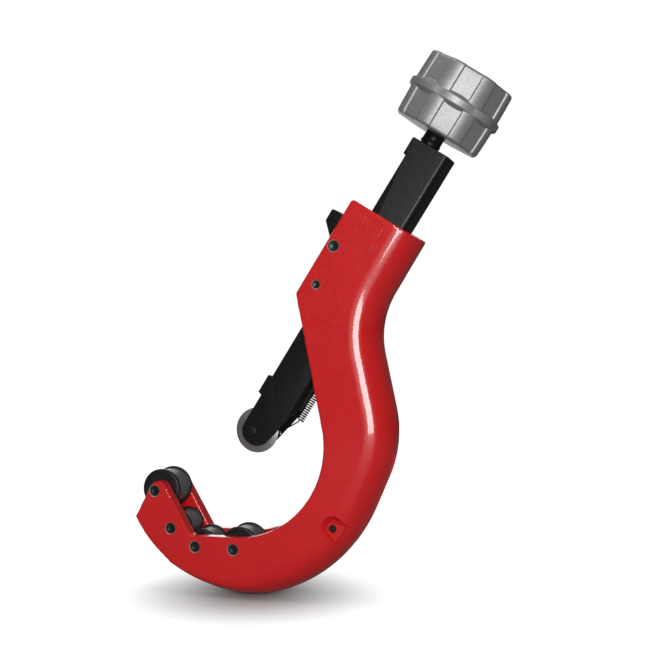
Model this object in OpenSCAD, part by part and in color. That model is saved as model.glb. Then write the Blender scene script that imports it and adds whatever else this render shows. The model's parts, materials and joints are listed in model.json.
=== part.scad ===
// Quick-release pipe cutter: a C-shaped cast frame with four rollers, and a
// sliding channel that carries the cutting wheel and is fed by a screw knob.
// Millimetres. Modules are drawn upright: Z runs up the feed axis, Y across
// the frame, X towards the back of the hook. stand() leans the finished tool
// back and puts the origin at the centre of the largest pipe it holds.

/* [Pipe] */

// Outside diameter of the largest pipe that sits on the outer rollers
pipe_od = 66.7; // [60:0.1:66.7]

/* [Frame] */

// Lean of the feed axis from the vertical, degrees
lean = 32.5; // [0:0.5:45]
// Thickness of the frame across the hook
frame_w = 29; // [28.5:0.1:31]
// Width of the gap between the two cheeks
gap_w = 16.2; // [16.2:0.05:16.6]
// Distance from the crown of the back to the ridge along each cheek
ridge_inset = 7; // [6:0.5:8.5]

/* [Rollers] */

// Radius of the two outer rollers
big_roller_r = 9.3; // [8.8:0.1:9.5]
// Radius of the two inner rollers
small_roller_r = 7.1; // [6.5:0.1:7.2]
// Diameter of the roller pins
roller_pin_d = 4.9; // [4.5:0.1:5.2]

/* [Slide] */

// Outside width of the channel
slide_w = 15.8; // [15.2:0.1:15.8]
// Sheet thickness of the channel
slide_wall = 1.8; // [1.5:0.1:2]
// Radius of the cutting wheel
wheel_r = 10.5; // [9.5:0.1:11]

/* [Feed] */

// Diameter of the feed screw over its threads
screw_d = 8.4; // [8:0.1:8.6]
// Largest radius of the knob, at its middle ring
knob_ring_r = 22.2; // [21.5:0.1:23]
// Length of the knob
knob_h = 30.5; // [28:0.5:33]
// Number of ridges round the knob
knob_ridges = 8; // [6:1:10]

/* [Hidden] */

round_fn = 64;
eps = 0.01;
cheek_y = gap_w / 2;
run_fit = 0.05;      // radial clearance of anything that turns
press_fit = 0.02;    // radial clearance of pins fixed in the castings
pin_sink = 0.3;      // how far the pins stop short of the cheek faces

// Roller centres, [x, z]
outer_roller_x = 23.4;
outer_roller_z = -163.4;
inner_roller_x = 7.3;
inner_roller_z = -173.3;
tip_roller_at = [-outer_roller_x, outer_roller_z];
heel_roller_at = [outer_roller_x, outer_roller_z];
front_roller_at = [-inner_roller_x, inner_roller_z];
rear_roller_at = [inner_roller_x, inner_roller_z];
roller_at = [tip_roller_at, front_roller_at, rear_roller_at, heel_roller_at];
roller_len = 15.3;
seat_z = outer_roller_z + sqrt(pow(pipe_od / 2 + big_roller_r, 2) - pow(outer_roller_x, 2));

// Handle
handle_left = -13.8;
handle_right = 21.4;
bridge_x = -5.3;       // inner face of the two bridges on the open side
bridge_top_h = 7;      // the upper bridge, above the lever window
window_low_z = -48;    // lower end of the lever window
bridge_low_z = -53.5;  // underside of the lower bridge
channel_right = 12.95; // the channel guides the slide between these faces
spring_x = 15.1;       // axis of the return spring, behind the slide
spring_groove_right = 17.5;
spring_groove_w = 6.4;
spring_bar_z = -10;    // cast bar that the return spring hangs from
spring_bar_r = 1.2;

lever_pin_at = [-9.9, -22.1];
lever_pin_d = 4.8;
stop_pin_at = [-7.6, -40.8];
stop_pin_d = 3.6;

// Reamer that folds into a slot in the back of the bend
reamer_at = [57, -127.7];
reamer_screw_d = 3.5;
reamer_tilt = 3.5;       // of the folded blade from the feed axis
reamer_t = 2.8;
reamer_pad_r = 2.9;
reamer_pad_w = 8.6;      // length of the pad's straight edge
reamer_pad_right = 4.5;  // distance from the screw to that edge
reamer_scoop_r = 5.3;
reamer_scoop_depth = 2;
back_slot_w = 3.2;

// Slide
slide_left = -5;
slide_right = 12.7;
slide_top = 37;
web_low_z = -96;
axle_at = [0, -114.9];
axle_d = 4.4;
axle_head_r = 2.6;
axle_head_h = 0.8;
inside_w = slide_w - 2 * slide_wall;
thrust_z = 33;        // middle of the upper bearing block
tail_z = -97;         // middle of the lower bearing block
block_h = 6;

// Feed screw: thread down to tail_top_z, then a plain tail
tail_d = 5;
tail_top_z = -93.5;
tail_low_z = -99.5;
screw_in_knob = 22;
collar_h = 4;

// Knob
knob_z = 43;
knob_r = 21.6;
knob_end_r = 21.4;
knob_turn = -6.9;      // how far the knob is turned at rest
knob_pin_d = 3;

// Return spring, and the end of its leg on the slide
spring_top_z = -14;
spring_low_z = -99.5;
spring_r = 2;
spring_wire_d = 0.8;
spring_leg_d = 0.7;
spring_elbow_r = 0.45;
spring_hook = [8.3, 4.6, -111.4];

// Lever and half nut
lever_w = 15.2;
nut_top_z = -27;
nut_low_z = -37.6;
nut_rivet_at = [-8.6, -32.3];
lever_spring_r = 3.6;
lever_spring_w = 5;

// ---- outlines ----

function unit(v) = v / norm(v);

// Turn from angle a to angle b by the shorter way
function short_turn(a, b) = let (t = (b - a + 540) % 360 - 180) t;

// One corner b of a path a-b-c, rounded to radius r in steps of about 5 degrees
function rounded_corner(a, b, c, r) =
    r == 0 ? [b] :
    let (
        u = unit(a - b),
        w = unit(c - b),
        half = acos(u * w) / 2,
        hub = b + unit(u + w) * r / sin(half),
        p = b + u * r / tan(half) - hub,
        q = b + w * r / tan(half) - hub,
        start = atan2(p.y, p.x),
        turn = short_turn(start, atan2(q.y, q.x)),
        steps = max(2, ceil(abs(turn) / 5))
    )
    [for (i = [0:steps]) hub + r * [cos(start + turn * i / steps), sin(start + turn * i / steps)]];

// An open path through corners of the form [x, z, radius]
function rounded_path(corners) =
    let (last = len(corners) - 1, p = [for (c = corners) [c[0], c[1]]])
    [for (i = [0:last])
        each rounded_corner(p[max(i - 1, 0)], p[i], p[min(i + 1, last)], corners[i][2])];

// A closed loop through corners of the same form
function rounded_loop(corners) =
    let (n = len(corners), p = [for (c = corners) [c[0], c[1]]])
    [for (i = [0:n - 1])
        each rounded_corner(p[(i + n - 1) % n], p[i], p[(i + 1) % n], corners[i][2])];

// Unit normal to the left of the path at point i
function path_normal(path, i) =
    let (
        last = len(path) - 1,
        d = unit(path[min(i + 1, last)] - path[max(i - 1, 0)])
    )
    [-d.y, d.x];

// Back of the frame, from above the handle round to the foot of the nose
back_corners = [
    [handle_right, 5, 0], [22.1, -41.2, 36.8], [61.2, -80.9, 51], [71, -142.2, 71.4],
    [33.1, -192.9, 52.5], [-16.1, -183.7, 55], [-25.6, -178.7, 0]
];
// Inside of the hook, from the nose back up to the top of the handle
inner_corners = [
    [-18.9, -250, 0], [-27.1, -154.9, 4.4], [2.9, -170.1, 3], [64.4, -130.4, 42.4],
    [handle_left, -49.1, 1], [handle_left, 0, 0]
];
back_path = rounded_path(back_corners);
inner_path = rounded_path(inner_corners);
outside = [[150, 0], [150, -250]];

// How much of the full crown the back has: it fades out towards the nose
function crown_share(p) = p.y > -120 ? 1 : max(0, min(1, p.x / 50));

// Everything in front of the back of the frame, drawn in by the inset
function back_loop(inset) = concat(
    [for (i = [0:len(back_path) - 1])
        back_path[i] - path_normal(back_path, i) * inset * crown_share(back_path[i])],
    [[-60, -205], [-60, 5]]
);

// ---- helpers ----

// Turns the finished tool back and moves the pipe seat to the origin
module stand() {
    rotate([0, lean, 0]) translate([0, 0, -seat_z]) children();
}

// Extrudes an XZ outline across the frame, centred on Y = 0
module across(w) {
    rotate([90, 0, 0]) linear_extrude(w, center = true) children();
}

// A cylinder across the frame at [x, z], between y0 and y1
module cross_cylinder(at, r, y0, y1) {
    translate([at.x, y1, at.y]) rotate([90, 0, 0]) cylinder(r = r, h = y1 - y0, $fn = round_fn);
}

// A pin through both cheeks that stops just under their faces
module cheek_pin(at, d) {
    half = frame_w / 2 - pin_sink;
    cross_cylinder(at, d / 2, -half, half);
}

// A box given by its two opposite corners
module box(low, high) {
    translate(low) cube(high - low);
}

// A ring-shaped solid round the feed axis at height z
module washer_z(r_out, r_in, z0, z1) {
    translate([0, 0, z0]) difference() {
        cylinder(r = r_out, h = z1 - z0, $fn = round_fn);
        translate([0, 0, -1]) cylinder(r = r_in, h = z1 - z0 + 2, $fn = round_fn);
    }
}

// ---- frame ----

// Cross-section of the back as [inset from its crown, y]. Each cheek bends
// in a little towards a ridge, and one arc runs over the crown from ridge to
// ridge. The bends start a little outside the faces of the cheeks.
function back_section() =
    let (
        crown_r = frame_w / 2 + 1.5,
        bend_inset = 15,
        bend_y = frame_w / 2 + 0.2,
        bend_steps = 3,
        crown_steps = 12,
        ridge_y = sqrt(pow(crown_r, 2) - pow(crown_r - ridge_inset, 2)),
        edge = asin(ridge_y / crown_r),
        bend_run = [bend_inset - ridge_inset, bend_y - ridge_y],
        bend = [for (i = [0:bend_steps - 1])
            let (share = i / bend_steps)
            [bend_inset - bend_run.x * share, bend_y - bend_run.y * pow(share, 2)]],
        crown = [for (i = [0:crown_steps])
            let (a = edge * (2 * i / crown_steps - 1))
            crown_r * [1 - cos(a), sin(a)]]
    )
    concat(
        [for (b = bend) [b.x, -b.y]],
        crown,
        [for (i = [bend_steps - 1:-1:0]) bend[i]]
    );

// Block with the back of the frame as its right-hand side: a stack of
// outlines that draw in towards both faces. The outline can be seen whole
// from the hub, so the end faces are fans about it.
module rounded_back() {
    hub = [-20, -110];
    levels = back_section();
    loops = [for (l = levels) back_loop(l.x)];
    n = len(loops[0]);
    last = len(levels) - 1;
    points = concat(
        [for (l = [0:last]) each [for (p = loops[l]) [p.x, levels[l].y, p.y]]],
        [[hub.x, levels[0].y, hub.y], [hub.x, levels[last].y, hub.y]]
    );
    near_hub = n * (last + 1);
    faces = [for (i = [0:n - 1])
        let (k = (i + 1) % n)
        each concat(
            [[near_hub, i, k], [near_hub + 1, last * n + k, last * n + i]],
            [for (l = [0:last - 1]) each [
                [l * n + i, (l + 1) * n + k, l * n + k],
                [l * n + i, (l + 1) * n + i, (l + 1) * n + k]
            ]]
        )];
    polyhedron(points, faces, convexity = 10);
}

// The casting before anything is cut out of it
module frame_blank() {
    intersection() {
        across(frame_w) polygon(concat(inner_path, outside));
        rounded_back();
    }
}

// Opening along the feed axis for the slide, with a groove for its spring
module handle_channel() {
    box([bridge_x, -cheek_y, -95], [channel_right, cheek_y, 1]);
    box([channel_right - 1, -spring_groove_w / 2, -95], [spring_groove_right, spring_groove_w / 2, 1]);
}

// Window in the open side of the handle for the release lever
module lever_window() {
    box([handle_left - 1, -cheek_y, window_low_z], [bridge_x + 1, cheek_y, -bridge_top_h]);
    box([handle_left - 10, -cheek_y, -75], [bridge_x + 1, cheek_y, bridge_low_z]);
}

// Trough between the cheeks that holds the four rollers
module roller_trough() {
    across(gap_w) union() {
        for (at = [tip_roller_at, heel_roller_at]) translate(at)
            circle(r = big_roller_r + 1, $fn = round_fn);
        for (at = [front_roller_at, rear_roller_at]) translate(at)
            circle(r = small_roller_r + 1, $fn = round_fn);
        polygon([
            [-50, -160], tip_roller_at + [-8, -6], front_roller_at + [-3, -7], rear_roller_at + [3, -7],
            heel_roller_at + [4, -9], [34, -155], [39, -142], [38, -132], [0, -120]
        ]);
    }
}

// Slot in the back of the bend that the reamer folds into, with a curved floor
module back_slot() {
    slot_hub = [-20.5, -122.5];
    slot_floor_r = 66;
    slot_reach = 120;
    slot_angles = [-9.5, 24.3];
    difference() {
        across(back_slot_w) intersection() {
            translate(slot_hub) circle(r = slot_reach, $fn = 2 * round_fn);
            polygon([slot_hub, for (a = slot_angles) slot_hub + 1.2 * slot_reach * [cos(a), sin(a)]]);
        }
        across(back_slot_w + 1) translate(slot_hub) circle(r = slot_floor_r, $fn = 2 * round_fn);
    }
}

// Shallow groove that outlines the plain label panel on each cheek
module label_groove() {
    low = [-4, -54.3];
    high = [6.3, -2.7];
    depth = 0.4;
    line = 0.5;
    for (side = [-1, 1]) translate([0, side * frame_w / 2, 0]) difference() {
        box([low.x, -depth, low.y], [high.x, depth, high.y]);
        box([low.x + line, -2 * depth, low.y + line], [high.x - line, 2 * depth, high.y - line]);
    }
}

// A round left-hand side of radius r that widens to a straight edge
function pad_outline(r, edge_w) =
    concat(
        [for (a = [105:6:255]) reamer_at + r * [cos(a), sin(a)]],
        [for (side = [-1, 1]) reamer_at + [reamer_pad_right, side * edge_w / 2]]
    );

// Hollow round the pad of the reamer's screw
module reamer_scoop() {
    low = -frame_w;
    high = -frame_w / 2 + reamer_scoop_depth;
    translate([0, (low + high) / 2, 0]) across(high - low)
        polygon(pad_outline(reamer_scoop_r, reamer_pad_w + 2.4));
}

// Pad with the hole for that screw, level with the cheek
module reamer_pad() {
    low = -frame_w / 2;
    high = -back_slot_w / 2 - 1;
    translate([0, (low + high) / 2, 0]) across(high - low)
        polygon(pad_outline(reamer_pad_r, reamer_pad_w));
}

module frame() {
    color([0.75, 0.12, 0.13]) {
        difference() {
            union() {
                difference() {
                    frame_blank();
                    reamer_scoop();
                }
                reamer_pad();
            }
            handle_channel();
            lever_window();
            roller_trough();
            back_slot();
            label_groove();
            for (at = roller_at) cross_cylinder(at, roller_pin_d / 2 + press_fit, -frame_w, frame_w);
            cross_cylinder(lever_pin_at, lever_pin_d / 2 + press_fit, -frame_w, frame_w);
            cross_cylinder(stop_pin_at, stop_pin_d / 2 + press_fit, -frame_w, frame_w);
            cross_cylinder(reamer_at, reamer_screw_d / 2 + press_fit, -frame_w, frame_w);
        }
        bar_half = spring_groove_w / 2 + 0.5;
        cross_cylinder([spring_x, spring_bar_z], spring_bar_r, -bar_half, bar_half);
    }
}

// ---- rollers and their pins ----

// A spool: two chamfered flanges with a lower barrel between them
module spool(at, r) {
    half = roller_len / 2;
    flange = 2.2;
    chamfer = 0.6;
    recess = 0.9;
    bore = roller_pin_d / 2 + run_fit;
    translate([at.x, 0, at.y]) rotate([90, 0, 0]) rotate_extrude($fn = round_fn) polygon([
        [bore, -half], [r - chamfer, -half], [r, -half + chamfer], [r, -half + flange - 0.4],
        [r - recess, -half + flange], [r - recess, half - flange],
        [r, half - flange + 0.4], [r, half - chamfer], [r - chamfer, half], [bore, half]
    ]);
}

module tip_roller() { color([0.16, 0.16, 0.16]) spool(tip_roller_at, big_roller_r); }
module front_roller() { color([0.16, 0.16, 0.16]) spool(front_roller_at, small_roller_r); }
module rear_roller() { color([0.16, 0.16, 0.16]) spool(rear_roller_at, small_roller_r); }
module heel_roller() { color([0.16, 0.16, 0.16]) spool(heel_roller_at, big_roller_r); }

module roller_pins() {
    color([0.1, 0.1, 0.1]) for (at = roller_at) cheek_pin(at, roller_pin_d);
}

module lever_pin() {
    color([0.1, 0.1, 0.1]) cheek_pin(lever_pin_at, lever_pin_d);
}

module stop_pin() {
    color([0.1, 0.1, 0.1]) cheek_pin(stop_pin_at, stop_pin_d);
}

// ---- reamer ----

// Blade in its own axes: [across, along, radius] from the middle of its pivot
blade_corners = [
    [-5, -5, 4.9], [5, -5, 4.9], [5.6, 12, 8], [2.2, 34.5, 0.8], [-0.6, 36, 0.8], [-3.8, 26, 6], [-5, 8, 3]
];

module reamer_blade() {
    color([0.55, 0.55, 0.56]) difference() {
        across(reamer_t) translate(reamer_at) rotate(-reamer_tilt) polygon(rounded_loop(blade_corners));
        cross_cylinder(reamer_at, reamer_screw_d / 2 + run_fit, -frame_w, frame_w);
    }
}

module reamer_screw() {
    socket_r = 1;
    socket_depth = 1.5;
    color([0.12, 0.12, 0.12]) difference() {
        cheek_pin(reamer_at, reamer_screw_d);
        translate([reamer_at.x, -frame_w / 2, reamer_at.y]) rotate([90, 0, 0])
            cylinder(r = socket_r, h = 2 * socket_depth, center = true, $fn = 6);
    }
}

// ---- slide ----

// The two steps on the open edge are the stop tabs
slide_side_corners = [
    [-6.3, slide_top, 0.8], [-6.3, 28.6, 0.4], [slide_left, 28.3, 0.3],
    [slide_left, -88, 0.3], [-6.9, -88.4, 0.5], [-6.9, -97.6, 0.5], [slide_left, -98.2, 0.3],
    [slide_left, -120.2, 6.5], [7.7, -120.2, 7], [slide_right, web_low_z, 12], [slide_right, slide_top, 0.6]
];

// Cross-section of the channel: a U that opens towards -X
module channel_section() {
    bend_r = 2.2;
    inner_r = bend_r - slide_wall;
    half = slide_w / 2;
    difference() {
        union() {
            translate([-10, -half]) square([slide_right - bend_r + 10, slide_w]);
            translate([-10, -half + bend_r]) square([slide_right + 10, slide_w - 2 * bend_r]);
            for (side = [-1, 1]) translate([slide_right - bend_r, side * (half - bend_r)])
                circle(r = bend_r, $fn = 32);
        }
        translate([-11, -inside_w / 2]) square([slide_right - slide_wall + 11, inside_w]);
    }
}

module slide() {
    color([0.13, 0.13, 0.13]) difference() {
        intersection() {
            translate([0, 0, -125]) linear_extrude(170) channel_section();
            across(slide_w + 2) polygon(rounded_loop(slide_side_corners));
        }
        // the back of the channel is cut away round the wheel
        box([slide_right - slide_wall - 1, -inside_w / 2, -125], [slide_right + 2, inside_w / 2, web_low_z]);
        cross_cylinder(axle_at, axle_d / 2 + press_fit, -frame_w, frame_w);
        cross_cylinder([spring_hook.x, spring_hook.z], 0.75, 0, frame_w);
    }
}

// Block inside the channel at height z, bored for the screw
module bearing_block(z, bore_d) {
    half_w = inside_w / 2 - press_fit;
    low = [slide_left + 0.3, -half_w, z - block_h / 2];
    high = [slide_right - slide_wall - press_fit, half_w, z + block_h / 2];
    color([0.16, 0.16, 0.16]) difference() {
        box(low, high);
        translate([0, 0, z]) cylinder(d = bore_d, h = 2 * block_h, center = true, $fn = round_fn);
    }
}

// Holds the screw at the top of the channel
module thrust_block() {
    bearing_block(thrust_z, screw_d + 2 * run_fit);
}

// Steadies the tail of the screw just above the wheel
module tail_block() {
    bearing_block(tail_z, tail_d + 2 * run_fit);
}

// Headed pin that carries the wheel, with a groove for its clip
module wheel_axle() {
    half = slide_w / 2;
    color([0.15, 0.15, 0.15]) {
        cross_cylinder(axle_at, axle_d / 2, -half - eps, half + 0.1);
        cross_cylinder(axle_at, axle_head_r, -half - axle_head_h, -half);
        cross_cylinder(axle_at, axle_d / 2 - 0.5, half, half + 1);
        cross_cylinder(axle_at, axle_d / 2, half + 0.9, half + 1.5);
    }
}

// Open ring snapped into the groove of the axle
module axle_clip() {
    y0 = slide_w / 2 + 0.12;
    color([0.4, 0.4, 0.41]) difference() {
        cross_cylinder(axle_at, 3.6, y0, y0 + 0.7);
        cross_cylinder(axle_at, axle_d / 2 - 0.5 + press_fit, y0 - 1, y0 + 2);
        box([axle_at.x - 1.5, y0 - 1, axle_at.y - 5], [axle_at.x + 1.5, y0 + 2, axle_at.y]);
    }
}

module wheel_washers() {
    hub_half = 3.25;
    gap = 0.1;
    color([0.45, 0.45, 0.46]) for (side = [-1, 1]) {
        y0 = side < 0 ? -inside_w / 2 + gap / 2 : hub_half + gap / 2;
        y1 = side < 0 ? -hub_half - gap / 2 : inside_w / 2 - gap / 2;
        difference() {
            cross_cylinder(axle_at, 4.2, y0, y1);
            cross_cylinder(axle_at, axle_d / 2 + press_fit, y0 - 1, y1 + 1);
        }
    }
}

// A hub that thins to a cutting edge
module cutter_wheel() {
    edge = 0.1;
    hub_half = 3.25;
    blade_half = 1.5;
    hub_r = 0.5 * wheel_r;
    blade_r = 0.68 * wheel_r;
    bore = axle_d / 2 + run_fit;
    color([0.72, 0.72, 0.74]) translate([axle_at.x, 0, axle_at.y]) rotate([90, 0, 0])
        rotate_extrude($fn = round_fn) polygon([
            [bore, -hub_half], [hub_r, -hub_half], [hub_r, -blade_half], [blade_r, -blade_half],
            [wheel_r, -edge], [wheel_r, edge], [blade_r, blade_half], [hub_r, blade_half],
            [hub_r, hub_half], [bore, hub_half]
        ]);
}

// ---- feed screw and knob ----

module feed_screw() {
    color([0.12, 0.12, 0.12]) difference() {
        union() {
            translate([0, 0, tail_top_z])
                cylinder(d = screw_d, h = knob_z + screw_in_knob - tail_top_z, $fn = round_fn);
            translate([0, 0, tail_low_z])
                cylinder(d = tail_d, h = tail_top_z - tail_low_z + eps, $fn = round_fn);
        }
        knob_pin_bore(press_fit);
    }
}

// Ring pinned to the screw under the thrust block
module thrust_collar() {
    top = thrust_z - block_h / 2 - 0.15;
    color([0.4, 0.4, 0.41]) washer_z(5.1, screw_d / 2 + press_fit, top - collar_h, top);
}

// Shoulder between the thrust block and the knob
module knob_hub() {
    low = slide_top + 0.3;
    color([0.12, 0.12, 0.12]) difference() {
        translate([0, 0, low]) rotate_extrude($fn = round_fn)
            polygon([[0, 0], [4.3, 0], [4.8, 0.5], [4.8, knob_z - low], [0, knob_z - low]]);
        cylinder(d = screw_d + 2 * press_fit, h = 2 * knob_z, $fn = round_fn);
    }
}

// Boxes above and below the ring that leave flat sides between the ridges,
// with a panel sunk into each side
module knob_panels() {
    side_r = knob_end_r - 0.8;
    panel_r = side_r - 0.5;
    side_w = 2 * side_r * tan(180 / knob_ridges);
    panel_w = 0.54 * side_w;
    ring_half = 2;
    mid = knob_z + knob_h / 2;
    for (i = [0:knob_ridges - 1], end = [-1, 1], cut = [[side_r, side_w], [panel_r, panel_w]])
        rotate([0, 0, knob_turn + (i + 0.5) * 360 / knob_ridges])
            box([cut[0], -cut[1] / 2, min(mid + end * ring_half, mid + end * knob_h)],
                [knob_ring_r + 5, cut[1] / 2, max(mid + end * ring_half, mid + end * knob_h)]);
}

module knob() {
    round = 1.2;
    ring_half = 2.2;
    mid = knob_h / 2;
    color([0.6, 0.6, 0.62]) difference() {
        translate([0, 0, knob_z]) rotate_extrude($fn = round_fn) polygon([
            [0, 0], [knob_end_r - round, 0], [knob_end_r, round],
            [knob_r, mid - ring_half - 0.8], [knob_ring_r, mid - ring_half + 0.8],
            [knob_ring_r, mid + ring_half - 0.8], [knob_r, mid + ring_half + 0.8],
            [knob_end_r, knob_h - round], [knob_end_r - round, knob_h], [0, knob_h]
        ]);
        knob_panels();
        translate([0, 0, knob_z - 1])
            cylinder(d = screw_d + 2 * press_fit, h = 1.02 + screw_in_knob, $fn = round_fn);
        knob_pin_bore(press_fit);
    }
}

// Hole through knob and screw for the pin that joins them, across two panels
module knob_pin_bore(extra) {
    translate([0, 0, knob_z + 5.5]) rotate([0, 90, knob_turn + 180 / knob_ridges])
        cylinder(d = knob_pin_d + 2 * extra, h = 2 * knob_ring_r, center = true, $fn = round_fn);
}

module knob_pin() {
    color([0.3, 0.3, 0.31]) intersection() {
        knob_pin_bore(0);
        translate([0, 0, knob_z]) cylinder(r = 17.8, h = 12, $fn = round_fn);
    }
}

// ---- release lever and half nut ----

lever_corners = [
    [-7.4, -8.6, 0.8], [-21.5, -8.6, 0.8], [-21.5, -14.7, 0.8], [-13.2, -22.5, 1.5], [-13.2, -46.5, 1],
    [-5.6, -46.5, 0.8], [-5.6, -19, 0.8], [-7.4, -15.5, 1]
];

module release_lever() {
    nut_w = 11.3;
    notch = 0.12;
    spring_room = lever_spring_w / 2 + 0.3;
    color([0.15, 0.15, 0.15]) difference() {
        across(lever_w) polygon(rounded_loop(lever_corners));
        // seat of the half nut
        box([-10.6, -nut_w / 2, nut_low_z - 0.1], [0, nut_w / 2, nut_top_z + 0.1]);
        // fork round the stop pin
        box([stop_pin_at.x, -frame_w, stop_pin_at.y - stop_pin_d / 2 - 0.5],
            [0, frame_w, stop_pin_at.y + stop_pin_d / 2 + 0.5]);
        cross_cylinder(stop_pin_at, stop_pin_d / 2 + notch, -frame_w, frame_w);
        // pivot, and the room for its spring
        cross_cylinder(lever_pin_at, lever_pin_d / 2 + run_fit, -frame_w, frame_w);
        box([-20, -spring_room, lever_pin_at.y - 4.6], [0, spring_room, lever_pin_at.y + 6.6]);
        box([-9.4, -spring_room, lever_pin_at.y], [0, spring_room, 0]);
        cross_cylinder(nut_rivet_at, 1.25 + press_fit, -frame_w, frame_w);
    }
}

module half_nut() {
    nut_w = 11.2;
    color([0.45, 0.45, 0.46]) difference() {
        box([-10.5, -nut_w / 2, nut_low_z], [-2.9, nut_w / 2, nut_top_z]);
        translate([0, 0, nut_low_z - 1]) cylinder(d = screw_d + 2 * run_fit, h = 14, $fn = round_fn);
        cross_cylinder(nut_rivet_at, 1.25 + press_fit, -frame_w, frame_w);
    }
}

module nut_rivet() {
    color([0.2, 0.2, 0.2]) cross_cylinder(nut_rivet_at, 1.25, -lever_w / 2, lever_w / 2);
}

// Torsion spring round the pivot, one leg on the lever and one on the frame
module lever_spring() {
    leg_y = lever_spring_w / 2 - 0.7;
    leg_x = lever_spring_r - 0.55;
    at = lever_pin_at;
    color([0.5, 0.5, 0.5]) {
        difference() {
            cross_cylinder(at, lever_spring_r, -lever_spring_w / 2, lever_spring_w / 2);
            cross_cylinder(at, lever_pin_d / 2 + 0.1, -lever_spring_w, lever_spring_w);
        }
        wire([at.x - leg_x, -leg_y, at.y], [at.x - leg_x, -leg_y, at.y - 4.1]);
        wire([at.x + leg_x, leg_y, at.y], [at.x + leg_x, leg_y, -bridge_top_h - 0.5]);
    }
}

// ---- return spring ----

// A straight wire with a ball at each end
module wire(a, b) {
    d = b - a;
    translate(a) rotate([0, acos(d.z / norm(d)), atan2(d.y, d.x)])
        cylinder(d = spring_leg_d, h = norm(d), $fn = 32);
    for (end = [a, b]) translate(end) sphere(r = spring_elbow_r, $fn = 32);
}

// The close-wound coil is a tube here, hung by its loop from the cast bar
module return_spring() {
    coil_r = spring_r - spring_wire_d / 2;
    loop_r = spring_bar_r + 0.1 + spring_wire_d / 2;
    loop_foot = [spring_x + loop_r * cos(45), 0, spring_bar_z - loop_r * sin(45)];
    color([0.55, 0.55, 0.56]) {
        translate([spring_x, 0, spring_low_z]) difference() {
            cylinder(r = spring_r, h = spring_top_z - spring_low_z, $fn = 32);
            translate([0, 0, -1]) cylinder(r = spring_r - spring_wire_d, h = 200, $fn = 32);
        }
        wire([spring_x, coil_r, spring_low_z + spring_elbow_r], spring_hook);
        wire(spring_hook, spring_hook + [0, 2.6, 0]);
        wire([spring_x + coil_r, 0, spring_top_z - spring_elbow_r], loop_foot);
        translate([spring_x, 0, spring_bar_z]) rotate([90, 0, 0])
            rotate_extrude($fn = 32) translate([loop_r, 0]) circle(d = spring_wire_d, $fn = 16);
    }
}

// ---- assembly ----

stand() frame();
stand() roller_pins();
stand() lever_pin();
stand() stop_pin();
stand() reamer_blade();
stand() reamer_screw();
stand() tip_roller();
stand() front_roller();
stand() rear_roller();
stand() heel_roller();
stand() slide();
stand() thrust_block();
stand() tail_block();
stand() wheel_axle();
stand() axle_clip();
stand() wheel_washers();
stand() cutter_wheel();
stand() feed_screw();
stand() thrust_collar();
stand() knob_hub();
stand() knob();
stand() knob_pin();
stand() release_lever();
stand() half_nut();
stand() nut_rivet();
stand() lever_spring();
stand() return_spring();
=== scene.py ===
"""Looks of a quick-release pipe cutter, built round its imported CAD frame.

Shapes are drawn in millimetres in the tool's own upright drawing: Z runs up the
feed axis with 0 at the top of the handle, Y across the frame, X towards the back
of the hook. place() carries them to the row frame, in metres.
"""

import json
import math

import bmesh
import bpy
import numpy as np
from mathutils import Matrix, Vector


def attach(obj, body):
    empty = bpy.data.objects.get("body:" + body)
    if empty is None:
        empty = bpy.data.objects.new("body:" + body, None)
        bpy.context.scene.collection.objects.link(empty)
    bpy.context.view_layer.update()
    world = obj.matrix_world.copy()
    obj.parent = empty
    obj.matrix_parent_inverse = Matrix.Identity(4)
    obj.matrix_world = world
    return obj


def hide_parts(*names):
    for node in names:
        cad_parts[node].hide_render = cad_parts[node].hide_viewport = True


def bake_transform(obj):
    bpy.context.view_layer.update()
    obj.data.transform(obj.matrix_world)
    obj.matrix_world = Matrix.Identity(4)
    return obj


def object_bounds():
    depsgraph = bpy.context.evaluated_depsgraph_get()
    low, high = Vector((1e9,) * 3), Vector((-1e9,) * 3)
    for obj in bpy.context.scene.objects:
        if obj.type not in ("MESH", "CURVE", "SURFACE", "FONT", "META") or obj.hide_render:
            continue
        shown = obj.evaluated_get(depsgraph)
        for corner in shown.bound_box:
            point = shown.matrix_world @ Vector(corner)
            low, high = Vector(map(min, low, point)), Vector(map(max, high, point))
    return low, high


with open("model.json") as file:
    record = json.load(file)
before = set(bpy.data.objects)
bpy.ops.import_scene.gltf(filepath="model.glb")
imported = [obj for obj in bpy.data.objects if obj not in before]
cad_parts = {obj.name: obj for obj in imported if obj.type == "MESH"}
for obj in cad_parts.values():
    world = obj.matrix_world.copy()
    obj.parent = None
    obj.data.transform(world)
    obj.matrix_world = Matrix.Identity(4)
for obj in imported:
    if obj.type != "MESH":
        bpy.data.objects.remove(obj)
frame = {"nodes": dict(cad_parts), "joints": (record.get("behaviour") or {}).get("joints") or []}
cad_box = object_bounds()
JOINTS = {j["name"]: j for j in frame["joints"]}

# ---- the drawing and its place in the row frame ----

MM = 0.001
SEAT_Z = -127.74  # the row frame's origin on the drawing's feed axis
FEED = JOINTS["slide_feed"]["axis"]
LEAN = math.atan2(FEED[0], FEED[2])
TO_ROW = (
    Matrix.Rotation(LEAN, 4, "Y")
    @ Matrix.Translation((0, 0, -SEAT_Z * MM))
    @ Matrix.Scale(MM, 4)
)
TO_DRAWING = TO_ROW.inverted()


def pivot(joint):
    """(x, z) of a joint's axis in the drawing."""
    p = TO_DRAWING @ Vector(JOINTS[joint]["pos_m"])
    return p.x, p.z


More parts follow.
